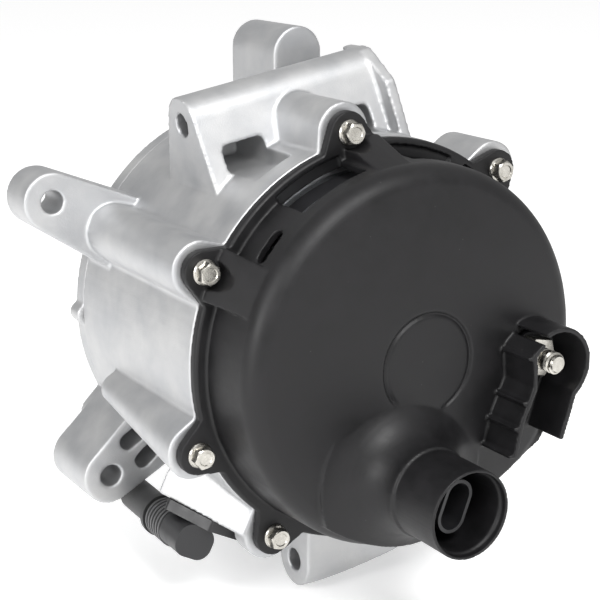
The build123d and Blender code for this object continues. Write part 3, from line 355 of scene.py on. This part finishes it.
def screwMesh(name, sizes, below):
    # a hexagon flange screw with a chamfered, slightly dished head; its seat is at y = 0, its shank runs to -below
    steps = 48
    half = sizes["flats"] / 2
    crown = half * 0.97
    base = sizes["flangeHeight"]
    top = base + sizes["head"]
    bm = bmesh.new()

    def hexagonal(angle):
        return half / math.cos((angle % (math.pi / 3)) - math.pi / 6)

    def ringAt(radiusOf, heightOf):
        points = []
        for i in range(steps):
            angle = 2 * math.pi * i / steps
            r = radiusOf(angle)
            points.append(bm.verts.new((r * mm * math.cos(angle), heightOf(angle) * mm, r * mm * math.sin(angle))))
        return points

    round1 = [(sizes["shank"] - 0.6, -below), (sizes["shank"], -below + 0.8), (sizes["shank"], 0.0),
              (sizes["flange"], 0.0), (sizes["flange"], base * 0.45), (sizes["flange"] - 0.35, base * 0.85),
              (half * 1.17, base)]
    rings = [[bm.verts.new((0, -below * mm, 0))]]
    rings += [ringAt(lambda a, r=r: r, lambda a, y=y: y) for r, y in round1]
    rings.append(ringAt(lambda a: hexagonal(a) - 0.05, lambda a: base + 0.15))
    rings.append(ringAt(hexagonal, lambda a: base + 0.35))
    rings.append(ringAt(hexagonal, lambda a: top - 0.12 - (hexagonal(a) - crown) * 0.6))
    rings.append(ringAt(lambda a: min(hexagonal(a), crown) * 0.985, lambda a: top))
    rings.append(ringAt(lambda a: crown * 0.72, lambda a: top))
    rings.append(ringAt(lambda a: crown * 0.64, lambda a: top - sizes["dish"]))
    rings.append([bm.verts.new((0, (top - sizes["dish"]) * mm, 0))])
    joinRings(bm, rings, steps)
    mesh = bpy.data.meshes.new(name)
    bm.to_mesh(mesh)
    bm.free()
    mesh.shade_smooth()
    mesh.set_sharp_from_angle(angle=math.radians(28))
    return mesh


def placingTree():
    # puts one source piece on every point, turned about Y by the point's own angle
    tree = bpy.data.node_groups.new("placedScrews", "GeometryNodeTree")
    face = tree.interface
    face.new_socket("Geometry", in_out="INPUT", socket_type="NodeSocketGeometry")
    face.new_socket("Source", in_out="INPUT", socket_type="NodeSocketObject")
    face.new_socket("Finish", in_out="INPUT", socket_type="NodeSocketMaterial")
    face.new_socket("Size", in_out="INPUT", socket_type="NodeSocketFloat").default_value = 1.0
    face.new_socket("Geometry", in_out="OUTPUT", socket_type="NodeSocketGeometry")
    given = addNode(tree, "NodeGroupInput").outputs
    source = addNode(tree, "GeometryNodeObjectInfo", {"Object": given["Source"]})
    turn = addNode(tree, "GeometryNodeInputNamedAttribute", {"Name": "turn"}, data_type="FLOAT_VECTOR")
    placed = addNode(tree, "GeometryNodeInstanceOnPoints", {
        "Points": given["Geometry"], "Instance": source.outputs["Geometry"],
        "Rotation": turn.outputs["Attribute"], "Scale": given["Size"]})
    real = addNode(tree, "GeometryNodeRealizeInstances", {"Geometry": placed.outputs["Instances"]})
    finish = addNode(tree, "GeometryNodeSetMaterial", {"Geometry": real.outputs["Geometry"],
                                                       "Material": given["Finish"]})
    addNode(tree, "NodeGroupOutput", {"Geometry": finish.outputs["Geometry"]})
    return tree


screwPlacing = placingTree()


def socketOf(tree, name):
    return next(item.identifier for item in tree.interface.items_tree
                if item.name == name and item.in_out == "INPUT")


def placedSet(name, source, points, turns, slot):
    mesh = bpy.data.meshes.new(name)
    mesh.from_pydata(points, [], [])
    angles = mesh.attributes.new("turn", "FLOAT_VECTOR", "POINT")
    for item, turn in zip(angles.data, turns):
        item.vector = turn
    piece = newObject(name, mesh)
    setting = piece.modifiers.new("placing", "NODES")
    setting.node_group = screwPlacing
    setting[socketOf(screwPlacing, "Source")] = source
    setting[socketOf(screwPlacing, "Finish")] = finishes[slot]
    setting[socketOf(screwPlacing, "Size")] = 1.0
    frozen(piece)
    piece.data.materials.clear()
    piece.data.materials.append(finishes[slot])
    return piece


def islandCentres(node):
    # middle of each separate solid of a node, from its loose triangles
    bm = bmesh.new()
    bm.from_mesh(frame["nodes"][node].data)
    bmesh.ops.remove_doubles(bm, verts=bm.verts, dist=0.001 * mm)
    left = set(bm.verts)
    centres = []
    while left:
        queue = [left.pop()]
        island = list(queue)
        while queue:
            for edge in queue.pop().link_edges:
                for vert in edge.verts:
                    if vert in left:
                        left.remove(vert)
                        queue.append(vert)
                        island.append(vert)
        low = [min(v.co[i] for v in island) for i in range(3)]
        high = [max(v.co[i] for v in island) for i in range(3)]
        centres.append([(a + b) / 2 for a, b in zip(low, high)] + [low[1], high[1]])
    bm.free()
    return sorted(centres, key=lambda c: math.atan2(c[2], c[0]))


def screwSets():
    height = flangeScrew["head"] + flangeScrew["flangeHeight"]
    covers = islandCentres("cover_screws")
    seat = covers[0][4] / mm - height
    source = newObject("screwSource", screwMesh("screwSource", flangeScrew, seat - covers[0][3] / mm))
    cover = placedSet("coverScrews", source, [(c[0], seat * mm, c[2]) for c in covers],
                      [(0, math.radians(23.0 * i), 0) for i in range(len(covers))], "zinc_steel")
    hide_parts("cover_screws")
    bolts = islandCentres("bracket_bolts")
    seat = bolts[0][3] / mm + height
    other = newObject("boltSource", screwMesh("boltSource", flangeScrew, bolts[0][4] / mm - seat))
    bracket = placedSet("bracketBolts", other, [(c[0], seat * mm, c[2]) for c in bolts],
                        [(math.pi, math.radians(17.0 * i), 0) for i in range(len(bolts))], "zinc_steel")
    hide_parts("bracket_bolts")
    for piece in (cover, bracket):
        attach(piece, "casing")
    for piece in (source, other):
        bpy.data.objects.remove(piece)
    print("screws:", len(covers), "on the cover,", len(bolts), "on the bracket")


screwSets()


# ---- threaded output stud

stud = {"radius": 4.0, "pitch": 1.25, "depth": 0.7, "chamfer": 0.9, "endTaper": 0.5, "coreSink": 0.05,
        "headRadius": 6.2, "headHeight": 3.6, "belowNut": 9.0, "runout": 1.2}


def threadTree():
    # a V thread wound along Z round a plain core
    tree = bpy.data.node_groups.new("studThread", "GeometryNodeTree")
    face = tree.interface
    for name, value in (("Root Radius", 3.3 * mm), ("Pitch", 1.25 * mm), ("Turns", 8.0), ("Depth", 0.7 * mm)):
        face.new_socket(name, in_out="INPUT", socket_type="NodeSocketFloat").default_value = value
    face.new_socket("Finish", in_out="INPUT", socket_type="NodeSocketMaterial")
    face.new_socket("Geometry", in_out="OUTPUT", socket_type="NodeSocketGeometry")
    given = addNode(tree, "NodeGroupInput").outputs
    height = addNode(tree, "ShaderNodeMath", {0: given["Pitch"], 1: given["Turns"]}, operation="MULTIPLY")
    winding = addNode(tree, "GeometryNodeCurveSpiral", {
        "Resolution": 40, "Rotations": given["Turns"], "Start Radius": given["Root Radius"],
        "End Radius": given["Root Radius"], "Height": height.outputs[0]})
    ridge = addNode(tree, "GeometryNodeCurvePrimitiveCircle", {"Resolution": 4, "Radius": given["Depth"]})
    wound = addNode(tree, "GeometryNodeCurveToMesh", {"Curve": winding.outputs["Curve"],
                                                      "Profile Curve": ridge.outputs["Curve"], "Fill Caps": True})
    real = addNode(tree, "GeometryNodeRealizeInstances", {"Geometry": wound.outputs["Mesh"]})
    finish = addNode(tree, "GeometryNodeSetMaterial", {"Geometry": real.outputs["Geometry"],
                                                       "Material": given["Finish"]})
    addNode(tree, "NodeGroupOutput", {"Geometry": finish.outputs["Geometry"]})
    return tree


def outputStud():
    low, high = [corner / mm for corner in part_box("output_stud")]
    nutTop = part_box("stud_nut")[1].y / mm
    x, z = (low.x + high.x) / 2, (low.z + high.z) / 2
    root = stud["radius"] - stud["depth"]
    top = high.y
    core = root - stud["coreSink"]
    headTop = low.y + stud["headHeight"]
    body = turnedMesh("outputStud", [
        (0, low.y), (stud["headRadius"], low.y), (stud["headRadius"], headTop), (core, headTop),
        (core, top - stud["chamfer"]), (root - stud["endTaper"], top), (0, top)], 64)
    threadLow = nutTop - stud["belowNut"]
    turns = (top - stud["runout"] - threadLow) / stud["pitch"]
    tree = threadTree()
    thread = newObject("studThread", bpy.data.meshes.new("studThread"))
    setting = thread.modifiers.new("thread", "NODES")
    setting.node_group = tree
    for name, value in (("Root Radius", root * mm), ("Pitch", stud["pitch"] * mm), ("Turns", turns),
                        ("Depth", stud["depth"] * mm)):
        setting[socketOf(tree, name)] = value
    setting[socketOf(tree, "Finish")] = finishes["zinc_steel"]
    frozen(thread)
    thread.data.transform(Matrix.Translation((x * mm, threadLow * mm, z * mm)) @ Matrix.Rotation(-math.pi / 2, 4, "X"))
    body.transform(Matrix.Translation((x * mm, 0, z * mm)))
    bm = bmesh.new()
    bm.from_mesh(body)
    bm.from_mesh(thread.data)
    bm.to_mesh(body)
    bm.free()
    bpy.data.objects.remove(thread)
    piece = newObject("outputStud", body)
    piece.data.materials.clear()
    piece.data.materials.append(finishes["zinc_steel"])
    for face in piece.data.polygons:
        face.material_index = 0
    smooth(piece, 25)
    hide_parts("output_stud")
    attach(piece, "casing")
    print("output stud with", round(turns, 1), "turns of thread")


outputStud()


# ---- stage, light and camera

def stage():
    floorHeight = cadBox[0][2] - 2 * mm
    mesh = bpy.data.meshes.new("floor")
    reach = 12.0
    mesh.from_pydata([(-reach, -reach, floorHeight), (reach, -reach, floorHeight), (reach, reach, floorHeight),
                      (-reach, reach, floorHeight)], [], [(0, 1, 2, 3)])
    floor = newObject("floor", mesh)
    material, tree, shader, place = newMaterial("paperFloor")
    setShader(shader, Base_Color=linear("#F6F6F6"), Roughness=0.9, Emission_Color=linear("#FFFFFF"),
              Emission_Strength=0.35)
    mesh.materials.append(material)
    studio(studioLight)
    scene.view_settings.view_transform = "Standard"


studioLight = {"overhead": 0.72, "horizon": 0.42, "below": 0.5}  # brightness of the surroundings by height


def studio(levels):
    # a plain studio: a bright ceiling that fades to greyer walls, and a pale floor below
    world = bpy.data.worlds.new("studio")
    world.use_nodes = True
    tree = world.node_tree
    place = addNode(tree, "ShaderNodeTexCoord").outputs["Generated"]
    height = addNode(tree, "ShaderNodeSeparateXYZ", {"Vector": place})
    up = addNode(tree, "ShaderNodeMapRange", {"Value": height.outputs["Z"], "From Min": 0.0, "From Max": 0.8,
                                              "To Min": levels["horizon"], "To Max": levels["overhead"]})
    down = addNode(tree, "ShaderNodeMapRange", {"Value": height.outputs["Z"], "From Min": -0.25, "From Max": 0.0,
                                                "To Min": levels["below"] - levels["horizon"], "To Max": 0.0})
    total = addNode(tree, "ShaderNodeMath", {0: up.outputs["Result"], 1: down.outputs["Result"]}, operation="ADD")
    background = tree.nodes["Background"]
    background.inputs["Color"].default_value = linear("#FFFFFF")
    tree.links.new(total.outputs[0], background.inputs["Strength"])
    scene.world = world


softboxes = {  # place, aim and width in metres, power in watts
    "key": ((0.15, 1.0, 0.95), (0.0, 0.1, 0.0), 0.5, 16),
    "left": ((0.95, 0.35, 0.35), (0.02, 0.05, 0.0), 0.4, 6),
}


def lights():
    for name, (spot, aim, width, power) in softboxes.items():
        lamp = bpy.data.lights.new(name, "AREA")
        lamp.size = width
        lamp.energy = power
        holder = bpy.data.objects.new(name, lamp)
        holder.location = spot
        holder.rotation_euler = (Vector(aim) - Vector(spot)).to_track_quat("-Z", "Y").to_euler()
        scene.collection.objects.link(holder)


view = {"place": (0.29779, 0.54939, 0.16171), "forward": (-0.5054, -0.8199, -0.2690), "lens": 90.15}


def camera():
    lens = bpy.data.cameras.new("camera")
    lens.lens = view["lens"]
    lens.sensor_width = 36.0
    lens.clip_start = 0.01
    holder = bpy.data.objects.new("camera", lens)
    holder.location = view["place"]
    holder.rotation_euler = Vector(view["forward"]).to_track_quat("-Z", "Y").to_euler()
    scene.collection.objects.link(holder)
    scene.camera = holder


stage()
lights()
camera()
print("stage, lights and camera set")
